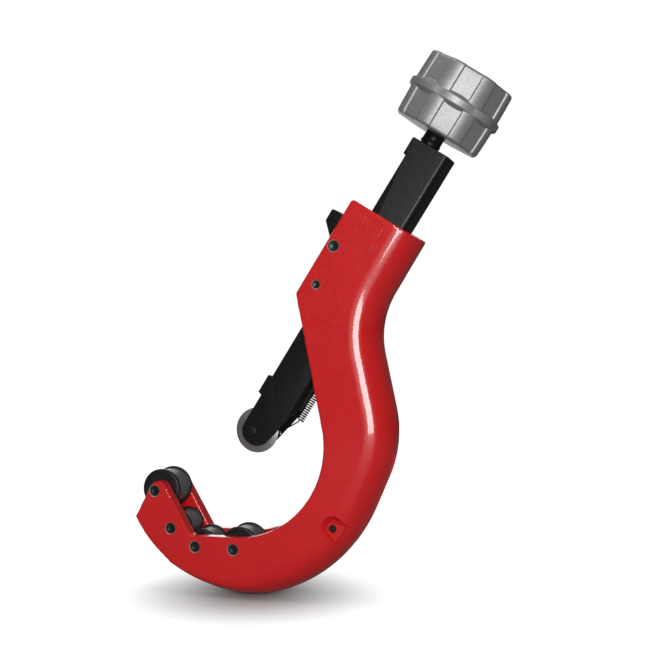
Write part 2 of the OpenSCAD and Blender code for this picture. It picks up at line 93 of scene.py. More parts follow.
# Main sizes of the drawing, in millimetres
FRAME_HALF = 14.5
GAP_HALF = 8.1
HANDLE_LEFT = -13.8
PIN_SINK = 0.3
PRESS_FIT = 0.02  # radial clearance of pins fixed in the castings
RUN_FIT = 0.05  # radial clearance of anything that turns
ROLLER_PIN_R = 2.45
LEVER_PIN_R = 2.4
STOP_PIN_R = 1.8
REAMER_SCREW_R = 1.75
STOP_PIN = (-7.6, -40.8)
ROLLER_JOINTS = ("tip_roller_spin", "front_roller_spin", "rear_roller_spin", "heel_roller_spin")
ROLLERS = [pivot(j) for j in ROLLER_JOINTS]
ROLLER_RADII = (9.3, 7.1, 7.1, 9.3)
LEVER_PIN = pivot("lever_release")
AXLE = pivot("wheel_spin")
REAMER = pivot("reamer_fold")
SLIDE_HALF = 7.9
SLIDE_WALL = 1.8
SPRING_X = 15.1
SPRING_BAR_Z = -10.0
SPRING_BAR_R = 1.2
NUT_RIVET = (-8.6, -32.3)
NUT_RIVET_R = 1.25
THROUGH = 20.0  # half length of cutters that pass through the whole tool
ON_AXIS = 0.01  # radius of the ends of solid lathe profiles


# ---- outlines ----


def arc_corner(a, b, c, r, step=3.0):
    """Corner b of the path a-b-c, rounded to radius r in steps of a few degrees."""
    if r == 0:
        return [tuple(b)]
    a, b, c = (np.array(p, float) for p in (a, b, c))
    u = (a - b) / np.linalg.norm(a - b)
    w = (c - b) / np.linalg.norm(c - b)
    half = math.acos(float(u @ w)) / 2
    middle = (u + w) / np.linalg.norm(u + w)
    hub = b + middle * r / math.sin(half)
    first, second = (b + v * r / math.tan(half) - hub for v in (u, w))
    start = math.atan2(first[1], first[0])
    turn = math.atan2(second[1], second[0]) - start
    turn = (turn + 3 * math.pi) % (2 * math.pi) - math.pi
    steps = max(3, math.ceil(abs(math.degrees(turn)) / step))
    angles = [start + turn * i / steps for i in range(steps + 1)]
    return [(hub[0] + r * math.cos(t), hub[1] + r * math.sin(t)) for t in angles]


def rounded_path(corners):
    """An open path through corners of the form (x, z, radius)."""
    p = [c[:2] for c in corners]
    last = len(p) - 1
    path = []
    for i, corner in enumerate(corners):
        path += arc_corner(p[max(i - 1, 0)], p[i], p[min(i + 1, last)], corner[2])
    return path


def rounded_loop(corners):
    """A closed loop through corners of the same form."""
    p = [c[:2] for c in corners]
    loop = []
    for i, corner in enumerate(corners):
        loop += arc_corner(p[i - 1], p[i], p[(i + 1) % len(p)], corner[2])
    return loop


# ---- meshes ----


def new_object(name, verts, faces):
    mesh = bpy.data.meshes.new(name)
    mesh.from_pydata([tuple(v) for v in verts], [], [tuple(f) for f in faces])
    mesh.update()
    obj = bpy.data.objects.new(name, mesh)
    bpy.context.scene.collection.objects.link(obj)
    return obj


def outward(obj):
    """Makes every face look outward."""
    bm = bmesh.new()
    bm.from_mesh(obj.data)
    bmesh.ops.recalc_face_normals(bm, faces=bm.faces)
    bm.to_mesh(obj.data)
    bm.free()
    return obj


def stack(name, loops):
    """A closed solid through loops of equal length, with flat ends."""
    n = len(loops[0])
    verts = [p for loop in loops for p in loop]
    faces = []
    for k in range(len(loops) - 1):
        for i in range(n):
            j = (i + 1) % n
            faces.append((k * n + i, k * n + j, (k + 1) * n + j, (k + 1) * n + i))
    last = (len(loops) - 1) * n
    faces += [tuple(range(n)), tuple(range(last, last + n))]
    return outward(new_object(name, verts, faces))


def prism(name, outline, y0, y1):
    """An XZ outline drawn out across the frame."""
    return stack(name, [[(x, y, z) for x, z in outline] for y in (y0, y1)])


def block(name, low, high):
    outline = [(low[0], low[2]), (high[0], low[2]), (high[0], high[2]), (low[0], high[2])]
    return prism(name, outline, low[1], high[1])


def circle(centre, r, count=96):
    angles = [2 * math.pi * i / count for i in range(count)]
    return [(centre[0] + r * math.cos(t), centre[1] + r * math.sin(t)) for t in angles]


def rod(name, at, r, y0, y1, count=96):
    return prism(name, circle(at, r, count), y0, y1)


def lathe(name, profile, at, count=128):
    """A closed (radius, y) profile turned about the Y axis through the XZ point at."""
    verts, faces = [], []
    n = len(profile)
    for i in range(count):
        t = 2 * math.pi * i / count
        for r, y in profile:
            verts.append((at[0] + r * math.cos(t), y, at[1] + r * math.sin(t)))
    for i in range(count):
        k = (i + 1) % count
        for j in range(n):
            m = (j + 1) % n
            faces.append((i * n + j, i * n + m, k * n + m, k * n + j))
    return outward(new_object(name, verts, faces))


def lathe_z(name, profile, count=128):
    """A (radius, z) profile turned about the feed axis, open ends closed by flat faces."""
    loops = []
    for r, z in profile:
        loops.append([(p[0], p[1], z) for p in circle((0, 0), r, count)])
    return stack(name, loops)


def ring_z(name, profile, count=128):
    """A closed (radius, z) profile turned about the feed axis."""
    obj = lathe(name, profile, (0, 0), count)
    obj.data.transform(Matrix.Rotation(math.pi / 2, 4, "X"))
    return obj


def join(name, objects):
    """One object from several, which may touch but don't need to be cut together."""
    bm = bmesh.new()
    for o in objects:
        bm.from_mesh(o.data)
        bpy.data.objects.remove(o)
    mesh = bpy.data.meshes.new(name)
    bm.to_mesh(mesh)
    bm.free()
    obj = bpy.data.objects.new(name, mesh)
    bpy.context.scene.collection.objects.link(obj)
    return obj


def modify(obj, kind, **settings):
    """Adds a modifier and applies it."""
    modifier = obj.modifiers.new(kind.lower(), kind)
    for key, value in settings.items():
        setattr(modifier, key, value)
    bpy.context.view_layer.objects.active = obj
    for o in bpy.context.selected_objects:
        o.select_set(False)
    obj.select_set(True)
    bpy.ops.object.modifier_apply(modifier=modifier.name)
    return obj


def combine(obj, tool, operation):
    """Boolean of obj with tool, which is used up."""
    modify(obj, "BOOLEAN", object=tool, operation=operation, solver="MANIFOLD")
    bpy.data.objects.remove(tool)
    return obj


def cut(obj, *tools):
    for tool in tools:
        combine(obj, tool, "DIFFERENCE")
    return obj


def add(obj, *tools):
    for tool in tools:
        combine(obj, tool, "UNION")
    return obj


def bevel(obj, width, segments=3, angle=40.0):
    """Rounds every edge sharper than the angle."""
    modify(obj, "WELD", merge_threshold=0.002)
    return modify(
        obj,
        "BEVEL",
        width=width,
        segments=segments,
        limit_method="ANGLE",
        angle_limit=math.radians(angle),
        use_clamp_overlap=False,
        harden_normals=False,
    )


def place(obj, body, slot, materials, nodes=(), sharp=40.0):
    """Carries a drawn piece to the row frame, gives it its body and finish, and hides the CAD nodes that it
    stands in for.
    """
    obj.data.transform(TO_ROW)
    obj.data.shade_smooth()
    obj.data.set_sharp_from_angle(angle=math.radians(sharp))
    materials = materials if isinstance(materials, list) else [materials]
    # clearing the slots resets the faces, so their places in the list are put back
    chosen = [min(p.material_index, len(materials) - 1) for p in obj.data.polygons]
    obj.data.materials.clear()
    for material in materials:
        obj.data.materials.append(material)
    obj.data.polygons.foreach_set("material_index", chosen)
    if nodes:
        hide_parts(*nodes)
    if body:
        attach(obj, body)
    return obj


# ---- materials ----


def linear(r, g, b):
    """Screen values from 0 to 255 as linear light."""
    out = []
    for c in (r, g, b):
        c = c / 255
        out.append(c / 12.92 if c <= 0.04045 else ((c + 0.055) / 1.055) ** 2.4)
    return (*out, 1.0)


class Finish:
    """A Principled material with the few node patterns that the pieces share."""

    def __init__(self, name, colour, metallic=0.0, roughness=0.5, **inputs):
        self.material = bpy.data.materials.new(name)
        self.material.use_nodes = True
        self.nodes = self.material.node_tree.nodes
        self.links = self.material.node_tree.links
        self.shader = self.nodes["Principled BSDF"]
        self.shader.inputs["Base Color"].default_value = colour
        self.shader.inputs["Metallic"].default_value = metallic
        self.shader.inputs["Roughness"].default_value = roughness
        for key, value in inputs.items():
            self.shader.inputs[key.replace("_", " ")].default_value = value
        self.place = self.nodes.new("ShaderNodeTexCoord").outputs["Object"]
        self.bumped = None

    def noise(self, size_mm, detail=3.0, stretch=None):
        """Noise from 0 to 1 whose grains are about size_mm across."""
        texture = self.nodes.new("ShaderNodeTexNoise")
        texture.inputs["Scale"].default_value = 1 / (size_mm * MM)
        texture.inputs["Detail"].default_value = detail
        place = self.place
        if stretch:
            mapping = self.nodes.new("ShaderNodeMapping")
            mapping.inputs["Scale"].default_value = stretch
            self.links.new(place, mapping.inputs["Vector"])
            place = mapping.outputs["Vector"]
        self.links.new(place, texture.inputs["Vector"])
        return texture.outputs["Fac"]

    def span(self, value, low, high, out_low, out_high):
        """Maps low..high to out_low..out_high, clamped."""
        node = self.nodes.new("ShaderNodeMapRange")
        for key, number in (
            ("From Min", low),
            ("From Max", high),
            ("To Min", out_low),
            ("To Max", out_high),
        ):
            node.inputs[key].default_value = number
        self.links.new(value, node.inputs["Value"])
        return node.outputs["Result"]

    def tint(self, share, colour):
        """Mixes colour over the present base colour by share."""
        mix = self.nodes.new("ShaderNodeMix")
        mix.data_type = "RGBA"
        self.links.new(share, mix.inputs["Factor"])
        base = self.shader.inputs["Base Color"]
        if base.is_linked:
            self.links.new(base.links[0].from_socket, mix.inputs["A"])
        else:
            mix.inputs["A"].default_value = base.default_value
        mix.inputs["B"].default_value = colour
        self.links.new(mix.outputs["Result"], base)
        return self

    def drive(self, socket, value):
        self.links.new(value, self.shader.inputs[socket])
        return self

    def bump(self, value, height_mm, strength=1.0):
        """Adds relief of about height_mm. Later calls add to earlier ones."""
        node = self.nodes.new("ShaderNodeBump")
        node.inputs["Strength"].default_value = strength
        node.inputs["Distance"].default_value = height_mm * MM
        self.links.new(value, node.inputs["Height"])
        if self.bumped:
            self.links.new(self.bumped, node.inputs["Normal"])
        self.bumped = node.outputs["Normal"]
        self.links.new(self.bumped, self.shader.inputs["Normal"])
        return self


def red_paint():
    """Smooth gloss enamel over a casting: faint mottling, orange peel and long casting waves."""
    base = linear(192, 26, 28)
    f = Finish("red_paint", base, 0.0, 0.34, Specular_IOR_Level=0.25, Coat_Weight=0.6, Coat_Roughness=0.07)
    f.tint(f.span(f.noise(9.0, 4.0), 0.35, 0.7, 0.0, 0.3), linear(174, 22, 26))
    f.tint(f.span(f.noise(0.5, 2.0), 0.45, 0.75, 0.0, 0.12), linear(208, 38, 38))
    f.drive("Roughness", f.span(f.noise(3.0), 0.3, 0.7, 0.3, 0.4))
    f.bump(f.noise(1.3, 2.0), 0.012).bump(f.noise(7.0, 1.0), 0.05)
    return f.material


def black_finish():
    """Blackened steel: near black, with a fine tooth and faint paler patches."""
    f = Finish("black_finish", linear(20, 20, 21), 0.0, 0.42, Specular_IOR_Level=0.2)
    f.tint(f.span(f.noise(5.0, 5.0), 0.5, 0.8, 0.0, 0.5), linear(29, 29, 30))
    f.drive("Roughness", f.span(f.noise(1.2, 4.0), 0.3, 0.7, 0.3, 0.42))
    f.bump(f.noise(0.35, 2.0), 0.006)
    return f.material


def roller_black():
    f = Finish("roller_black", linear(24, 24, 25), 0.0, 0.4, Specular_IOR_Level=0.3)
    f.tint(f.span(f.noise(2.0, 4.0), 0.5, 0.8, 0.0, 0.5), linear(46, 46, 47))
    f.bump(f.noise(0.4, 2.0), 0.006)
    return f.material


def roller_barrel():
    """The rolling surface, rubbed to a dull grey with fine turning marks."""
    f = Finish("roller_barrel", linear(112, 110, 109), 0.25, 0.42)
    f.tint(f.span(f.noise(1.6, 4.0), 0.4, 0.75, 0.0, 0.6), linear(78, 77, 77))
    f.bump(f.noise(0.6, 3.0, (0.4, 6.0, 0.4)), 0.01)
    return f.material


def pin_black():
    f = Finish("pin_black", linear(20, 20, 21), 0.2, 0.4)
    f.tint(f.span(f.noise(0.9, 3.0), 0.5, 0.8, 0.0, 0.6), linear(48, 50, 50))
    f.bump(f.noise(0.5, 3.0), 0.03)
    return f.material


def bare_rim():
    """Bare metal where the paint is broken round a pin."""
    f = Finish("bare_rim", linear(150, 152, 150), 0.3, 0.4)
    f.tint(f.span(f.noise(0.7, 3.0), 0.4, 0.7, 0.0, 0.6), linear(96, 97, 96))
    f.bump(f.noise(0.4, 2.0), 0.01)
    return f.material


def bright_steel(name, shade, roughness=0.3):
    """Ground steel with fine turning marks."""
    f = Finish(name, linear(shade, shade, shade + 1), 0.85, roughness)
    f.tint(f.span(f.noise(2.5, 4.0), 0.4, 0.7, 0.0, 0.4), linear(shade - 22, shade - 22, shade - 21))
    f.drive("Roughness", f.span(f.noise(1.0, 4.0), 0.3, 0.7, roughness - 0.06, roughness + 0.08))
    f.bump(f.noise(0.5, 2.0, (1.0, 5.0, 1.0)), 0.004)
    return f.material


def cast_grey():
    """Bare cast metal, finely grained."""
    f = Finish("cast_grey", linear(152, 152, 151), 0.55, 0.5)
    f.tint(f.span(f.noise(0.45, 2.0), 0.42, 0.62, 0.0, 0.55), linear(122, 122, 121))
    f.tint(f.span(f.noise(6.0, 4.0), 0.45, 0.75, 0.0, 0.35), linear(168, 168, 166))
    f.bump(f.noise(0.4, 2.0), 0.05).bump(f.noise(3.0, 2.0), 0.03)
    return f.material


RED = red_paint()
BLACK = black_finish()
ROLLER = roller_black()
BARREL = roller_barrel()
PIN = pin_black()
WHEEL = bright_steel("wheel_steel", 176, 0.34)
STEEL = bright_steel("plain_steel", 150, 0.32)
SPRING = bright_steel("spring_steel", 70, 0.25)
CAST = cast_grey()
RIM = bare_rim()


# ---- the casting ----

# Back of the frame, from above the handle round to the foot of the nose
BACK_CORNERS = [
    (21.4, 5, 0),
    (22.1, -41.2, 36.8),
    (61.2, -80.9, 51),
    (71, -142.2, 71.4),
    (33.1, -192.9, 52.5),
    (-16.1, -183.7, 55),
    (-25.6, -178.7, 0),
]
# Inside of the hook, from the nose back up to the top of the handle
INNER_CORNERS = [
    (-18.9, -250, 0),
    (-27.1, -154.9, 4.4),
    (2.9, -170.1, 3),
    (64.4, -130.4, 42.4),
    (HANDLE_LEFT, -49.1, 1),
    (HANDLE_LEFT, 0, 1.5),
    (20, 0, 0),
]


def back_section():
    """(inset, y) points from one face round the crowned back to the other.
    Each face bends a little towards the ridge, and the back is an arc from ridge to ridge."""
    crown_r, ridge_inset, bend_inset, bend_y = 16.0, 7.0, 15.0, FRAME_HALF + 0.2
    ridge_y = math.sqrt(crown_r**2 - (crown_r - ridge_inset) ** 2)
    near = []
    for i in range(9):
        share = i / 8
        near.append((bend_inset - (bend_inset - ridge_inset) * share, (bend_y - ridge_y) * share**2 - bend_y))
    across = []
    edge = math.asin(ridge_y / crown_r)
    for i in range(1, 28):
        t = edge * (i / 14 - 1)
        across.append((crown_r - crown_r * math.cos(t), crown_r * math.sin(t)))
    far = [(inset, -y) for inset, y in reversed(near)]
    return near + across + far


def crowned_back():
    """Everything in front of the back of the frame."""
    path = rounded_path(BACK_CORNERS)
    p = np.array(path)
    ahead = np.vstack([p[1:], p[-1]])
    behind = np.vstack([p[0], p[:-1]])
    d = ahead - behind
    d /= np.linalg.norm(d, axis=1)[:, None]
    normal = np.stack([-d[:, 1], d[:, 0]], axis=1)
    # the crown fades out towards the nose
    full_crown_x, fade_below_z = 50.0, -120.0
    front_x, low_z, high_z = -60, -205, 5
    share = np.clip(p[:, 0] / full_crown_x, 0, 1)
    share[p[:, 1] > fade_below_z] = 1
    loops = []
    for inset, y in back_section():
        edge = p - normal * (inset * share)[:, None]
        loop = [(x, y, z) for x, z in edge]
        loops.append(loop + [(front_x, y, low_z), (front_x, y, high_z)])
    return stack("casting", loops)


def channel_cutters():
    """The opening for the slide, the groove for its spring and the window for the release lever."""
    bridge_x, channel_right, groove_right, groove_half = -5.3, 12.95, 17.5, 3.2
    below, above, overlap = -95, 1, 1
    window_low, window_top, lower_bridge_low = -48, -7, -53.5
    return [
        block("cut", (bridge_x, -GAP_HALF, below), (channel_right, GAP_HALF, above)),
        block("cut", (channel_right - overlap, -groove_half, below), (groove_right, groove_half, above)),
        block("cut", (HANDLE_LEFT - 1, -GAP_HALF, window_low), (bridge_x + overlap, GAP_HALF, window_top)),
        block("cut", (HANDLE_LEFT - 10, -GAP_HALF, -75), (bridge_x + overlap, GAP_HALF, lower_bridge_low)),
    ]


def trough_cutters():
    """Room for the rollers between the cheeks of the jaw."""
    tip, front, rear, heel = ROLLERS
    room = 1.0
    hollow = [
        (-50, -160),
        (tip[0] - 8, tip[1] - 6),
        (front[0] - 3, front[1] - 7),
        (rear[0] + 3, rear[1] - 7),
        (heel[0] + 4, heel[1] - 9),
        (34, -155),
        (39, -142),
        (38, -132),
        (0, -120),
    ]
    cutters = [prism("cut", hollow, -GAP_HALF, GAP_HALF)]
    for at, r in zip(ROLLERS, ROLLER_RADII):
        cutters.append(rod("cut", at, r + room, -GAP_HALF, GAP_HALF))
    return cutters


def back_slot_cutter():
    """Slot in the back of the bend that the reamer folds into, with a curved floor."""
    hub, floor_r, half, out_r = (-20.5, -122.5), 66.0, 1.6, 120.0
    start, end = math.radians(-9.5), math.radians(24.3)
    outline = []
    for i in range(25):
        t = start + (end - start) * i / 24
        outline.append((hub[0] + floor_r * math.cos(t), hub[1] + floor_r * math.sin(t)))
    for t in (end, start):
        outline.append((hub[0] + out_r * math.cos(t), hub[1] + out_r * math.sin(t)))
    return prism("cut", outline, -half, half)


def pad_outline(r, edge):
    """A round left-hand side that widens to a straight edge on the back of the bend."""
    x, z = REAMER
    right, start, sweep = 4.5, 105, 150
    turn = [math.radians(start + sweep * i / 30) for i in range(31)]
    outline = [(x + r * math.cos(t), z + r * math.sin(t)) for t in turn]
    return outline + [(x + right, z - edge / 2), (x + right, z + edge / 2)]


def label_cutters():
    """Thin groove round the plain label panel on each cheek."""
    low, high, line, depth = (-4.0, -54.3), (6.3, -2.7), 0.9, 0.5
    outer, inner = (
        rounded_loop(
            [
                (low[0] + inset, low[1] + inset, r),
                (high[0] - inset, low[1] + inset, r),
                (high[0] - inset, high[1] - inset, r),
                (low[0] + inset, high[1] - inset, r),
            ]
        )
        for inset, r in ((0.0, 0.8), (line, 0.4))
    )
    rings = []
    for side in (-1, 1):
        ring = prism("cut", outer, side * FRAME_HALF - depth, side * FRAME_HALF + depth)
        rings.append(cut(ring, prism("cut", inner, side * FRAME_HALF - 1, side * FRAME_HALF + 1)))
    return rings


HOLE_CHAMFER = 0.3


def pin_hole(at, r):
    """A through hole whose mouths are broken by a small chamfer."""
    chamfer, mouth, reach = HOLE_CHAMFER, FRAME_HALF, FRAME_HALF + 1
    profile = [
        (ON_AXIS, -reach),
        (r + chamfer, -reach),
        (r + chamfer, -mouth),
        (r, -mouth + chamfer),
        (r, mouth - chamfer),
        (r + chamfer, mouth),
        (r + chamfer, reach),
        (ON_AXIS, reach),
    ]
    return lathe("cut", profile, at, 64)


PIN_HOLES = [(at, ROLLER_PIN_R + PRESS_FIT) for at in ROLLERS] + [
    (LEVER_PIN, LEVER_PIN_R + PRESS_FIT),
    (STOP_PIN, STOP_PIN_R + PRESS_FIT),
]


def casting():
    """The red frame: drawn, cut out, softened all over as a painted casting is, then bored."""
    pad_r, pad_edge, pad_foot = 2.9, 8.6, -6.0
    scoop_r, scoop_edge, scoop_floor, foot_margin = 5.6, 11.6, -12.1, 0.4
    spring_bar_half = 4
    body = crowned_back()
    beyond_back = [(150, 0), (150, -250)]
    front = rounded_path(INNER_CORNERS) + beyond_back
    combine(body, prism("front", front, -FRAME_HALF, FRAME_HALF), "INTERSECT")
    cut(body, *channel_cutters(), *trough_cutters(), back_slot_cutter())
    add(body, rod("bar", (SPRING_X, SPRING_BAR_Z), SPRING_BAR_R, -spring_bar_half, spring_bar_half))
    modify(body, "REMESH", mode="VOXEL", voxel_size=0.5)
    modify(body, "SMOOTH", factor=0.6, iterations=7)
    # a hollow that slopes down to the foot of the pad, then the pad
    mouth = pad_outline(scoop_r, scoop_edge)
    foot = pad_outline(pad_r + foot_margin, pad_edge + foot_margin)
    scoop = [(-THROUGH, mouth), (-FRAME_HALF, mouth), (scoop_floor, foot)]
    cut(body, stack("cut", [[(x, y, z) for x, z in outline] for y, outline in scoop]))
    add(body, prism("pad", pad_outline(pad_r, pad_edge), -FRAME_HALF, pad_foot))
    cut(body, *label_cutters())
    cut(body, *[pin_hole(at, r) for at, r in PIN_HOLES])
    cut(body, rod("cut", REAMER, REAMER_SCREW_R + PRESS_FIT, -THROUGH, THROUGH, 48))
    triangles = sum(len(p.vertices) - 2 for p in body.data.polygons)
    most_triangles = 195000
    if triangles > most_triangles:
        modify(body, "DECIMATE", ratio=most_triangles / triangles)
    for polygon in body.data.polygons:
        polygon.material_index = 0
        c = polygon.center
        for at, r in PIN_HOLES:
            near_face = abs(c.y) > FRAME_HALF - HOLE_CHAMFER - 0.05
            sloped = abs(polygon.normal.y) < 0.97
            if near_face and sloped and math.hypot(c.x - at[0], c.z - at[1]) < r + HOLE_CHAMFER:
                polygon.material_index = 1
    return body


# ---- pins and rollers ----


def headed_pin(name, at, r):
    """A pin that ends just under the cheek faces, with a dimple and a bare rim round
    each end. Material 1 is the rim."""
    end, chamfer, dimple, rim = FRAME_HALF - PIN_SINK, 0.25, 0.35, HOLE_CHAMFER
    half = [
        (ON_AXIS, end - dimple),
        (0.35 * r, end - dimple),
        (0.6 * r, end),
        (r - chamfer, end),
        (r, end - chamfer),
    ]
    profile = [(p, -y) for p, y in half] + [(p, y) for p, y in reversed(half)]
    parts = [lathe("pin", profile, at, 64)]
    for side in (-1, 1):
        ring = [
            (r + 0.01, side * (FRAME_HALF - rim)),
            (r + rim, side * FRAME_HALF),
            (r + rim + 0.06, side * FRAME_HALF),
            (r + rim + 0.06, side * (FRAME_HALF - rim - 0.1)),
            (r + 0.01, side * (FRAME_HALF - rim - 0.1)),
        ]
        parts.append(lathe("rim", ring, at, 64))
        for polygon in parts[-1].data.polygons:
            polygon.material_index = 1
    return join(name, parts)


def roller(name, at, r):
    """A spool: flanges with dished faces and a lower barrel. Material 1 is the barrel."""
    half, flange, drop, bore, edge = 7.65, 2.1, 0.9, 2.5, 0.3
    side = [
        (bore, half - 0.1),
        (bore + 1.0, half - 0.1),
        (bore + 1.3, half - 0.35),
        (r - 1.9, half - 0.35),
        (r - 1.5, half),
        (r - 0.6, half),
        (r - 0.15, half - 0.2),
        (r, half - 0.6),
        (r, half - flange + edge),
        (r - 0.12, half - flange + 0.1),
        (r - drop, half - flange - 0.1),
    ]
    profile = [(p, -y) for p, y in side] + [(p, y) for p, y in reversed(side)]
    obj = lathe(name, profile, at, 128)
    for polygon in obj.data.polygons:
        c = polygon.center
        off_axis = math.hypot(c.x - at[0], c.z - at[1])
        if abs(c.y) < half - flange and bore + 1 < off_axis < r - drop + 0.1:
            polygon.material_index = 1
    return obj


def cutting_wheel(name, at, r, hub_half, bore):
    """A hub, a flat web and a double bevel down to the edge."""
    web, edge = 1.5, 0.06
    hub_r, bevel_r = 0.5 * r, 0.7 * r
    side = [
        (bore, hub_half - 0.15),
        (bore + 0.15, hub_half),
        (hub_r - 0.3, hub_half),
        (hub_r, hub_half - 0.3),
        (hub_r + 0.1, web + 0.15),
        (hub_r + 0.3, web),
        (bevel_r - 0.1, web),
        (bevel_r + 0.1, web - 0.08),
        (r - 0.05, edge),
    ]
    profile = [(p, -y) for p, y in side] + [(r, 0)] + [(p, y) for p, y in reversed(side)]
    return lathe(name, profile, at, 160)


def pins_and_rollers():
    pins = join("roller_pins_v", [headed_pin("pin", at, ROLLER_PIN_R) for at in ROLLERS])
    place(pins, "frame", "pin_steel", [PIN, RIM], ["roller_pins"])
    for name, at, r in (("lever_pin", LEVER_PIN, LEVER_PIN_R), ("stop_pin", STOP_PIN, STOP_PIN_R)):
        place(headed_pin(name + "_v", at, r), "frame", "pin_steel", [PIN, RIM], [name])
    place(reamer_screw(), "frame", "pin_steel", PIN, ["reamer_screw"])
    place(reamer_blade(), "reamer", "plain_steel", STEEL, ["reamer_blade"], 25)
    for joint, at, r in zip(ROLLER_JOINTS, ROLLERS, ROLLER_RADII):
        node = joint.removesuffix("_spin")
        place(roller(node + "_v", at, r), node, "roller_steel", [ROLLER, BARREL], [node], 30)


def reamer_screw():
    """Screw with a hexagon socket at the near end."""
    end, r, chamfer = FRAME_HALF - PIN_SINK, REAMER_SCREW_R, 0.25
    socket_r, socket_depth = 1.0, 1.5
    profile = [(ON_AXIS, -end), (r - chamfer, -end), (r, chamfer - end)]
    profile += [(r, end - chamfer), (r - chamfer, end), (ON_AXIS, end)]
    screw = lathe("reamer_screw_v", profile, REAMER, 64)
    return cut(screw, rod("cut", REAMER, socket_r, -end - 1, socket_depth - end, 6))


# Blade from the middle of its pivot, as (across, along, radius)
BLADE_CORNERS = [
    (-5, -5, 4.9),
    (5, -5, 4.9),
    (5.6, 12, 8),
    (2.2, 34.5, 0.8),
    (-0.6, 36, 0.8),
    (-3.8, 26, 6),
    (-5, 8, 3),
]
BLADE_TILT = math.radians(3.5)


def reamer_blade():
    """Flat blade in the slot, ground from both sides to an edge along the side that faces the hook."""
    half, edge_half, grind, grind_from, grind_run = 1.4, 0.12, 1.5, 10.0, 4.0
    cos, sin = math.cos(BLADE_TILT), math.sin(BLADE_TILT)
    loops = []
    for y, depth in ((-half, grind), (-edge_half, 0.0), (edge_half, 0.0), (half, grind)):
        loop = []
        for u, v in rounded_loop(BLADE_CORNERS):
            if u < 0:
                u += depth * smooth_step((v - grind_from) / grind_run)
            loop.append((REAMER[0] + u * cos + v * sin, y, REAMER[1] - u * sin + v * cos))
        loops.append(loop)
    blade = stack("reamer_blade_v", loops)
    return cut(blade, rod("cut", REAMER, REAMER_SCREW_R + RUN_FIT, -3, 3, 48))


# ---- slide ----

SLIDE_TOP = 37.0
SLIDE_RIGHT = 12.7
SPRING_HOOK = (8.3, 4.6, -111.4)
WEB_LOW = -96.0
# The two steps on the open edge are the stop tabs
SLIDE_CORNERS = [
    (-6.3, SLIDE_TOP, 0.8),
    (-6.3, 28.6, 0.4),
    (-5.0, 28.3, 0.3),
    (-5.0, -88.0, 0.3),
    (-6.9, -88.4, 0.5),
    (-6.9, -97.6, 0.5),
    (-5.0, -98.2, 0.3),
    (-5.0, -120.2, 6.5),
    (7.7, -120.2, 7),
    (SLIDE_RIGHT, WEB_LOW, 12),
    (SLIDE_RIGHT, SLIDE_TOP, 0.6),
]


def slide():
    """Folded sheet: a U open towards -X, with a rounded lower end and stop tabs."""
    bend_r, open_x = 2.4, -12
    inner_r = bend_r - SLIDE_WALL
    inside = SLIDE_HALF - SLIDE_WALL
    web = SLIDE_RIGHT - SLIDE_WALL
    section = rounded_loop(
        [
            (open_x, -SLIDE_HALF, 0),
            (SLIDE_RIGHT, -SLIDE_HALF, bend_r),
            (SLIDE_RIGHT, SLIDE_HALF, bend_r),
            (open_x, SLIDE_HALF, 0),
            (open_x, inside, 0),
            (web, inside, inner_r),
            (web, -inside, inner_r),
            (open_x, -inside, 0),
        ]
    )
    below, above, hook_hole_r = -125, 45, 0.75
    obj = stack("slide_v", [[(x, y, z) for x, y in section] for z in (below, above)])
    combine(obj, prism("side", rounded_loop(SLIDE_CORNERS), -9, 9), "INTERSECT")
    # the back of the channel is cut away round the wheel
    cut(obj, block("cut", (web - 1, -inside, below), (SLIDE_RIGHT + 2, inside, WEB_LOW)))
    cut(obj, rod("cut", (SPRING_HOOK[0], SPRING_HOOK[2]), hook_hole_r, 0, 12, 32))
    return bevel(obj, 0.22)


def axle():
    """Headed axle with a groove for its clip at the far end."""
    r, head_r, head = 2.2, 2.7, 0.85
    near, far = -SLIDE_HALF, SLIDE_HALF
    profile = [
        (ON_AXIS, near - head),
        (head_r - 0.4, near - head),
        (head_r - 0.1, near - head + 0.1),
        (head_r, near - head + 0.4),
        (head_r, near),
        (r, near),
        (r, far + 0.1),
        (r - 0.5, far + 0.1),
        (r - 0.5, far + 0.9),
        (r, far + 0.9),
        (r, far + 1.3),
        (r - 0.25, far + 1.5),
        (ON_AXIS, far + 1.5),
    ]
    return lathe("wheel_axle_v", profile, AXLE, 64)


def slide_group():
    place(slide(), "slide", "black_finish", BLACK, ["slide"])
    place(axle(), "slide", "black_finish", BLACK, ["wheel_axle"])
    r, hub_half, axle_r = 10.5, 3.25, 2.2
    wheel = cutting_wheel("cutter_wheel_v", AXLE, r, hub_half, axle_r + RUN_FIT)
    place(wheel, "wheel", "wheel_steel", WHEEL, ["cutter_wheel"], 25)


# ---- feed screw and knob ----

SLIDE_CLEARANCE = 0.3
KNOB_Z = 43.0
KNOB_H = 30.5
SCREW_R = 4.2
SCREW_IN_KNOB = 22.0
PITCH = 2.5


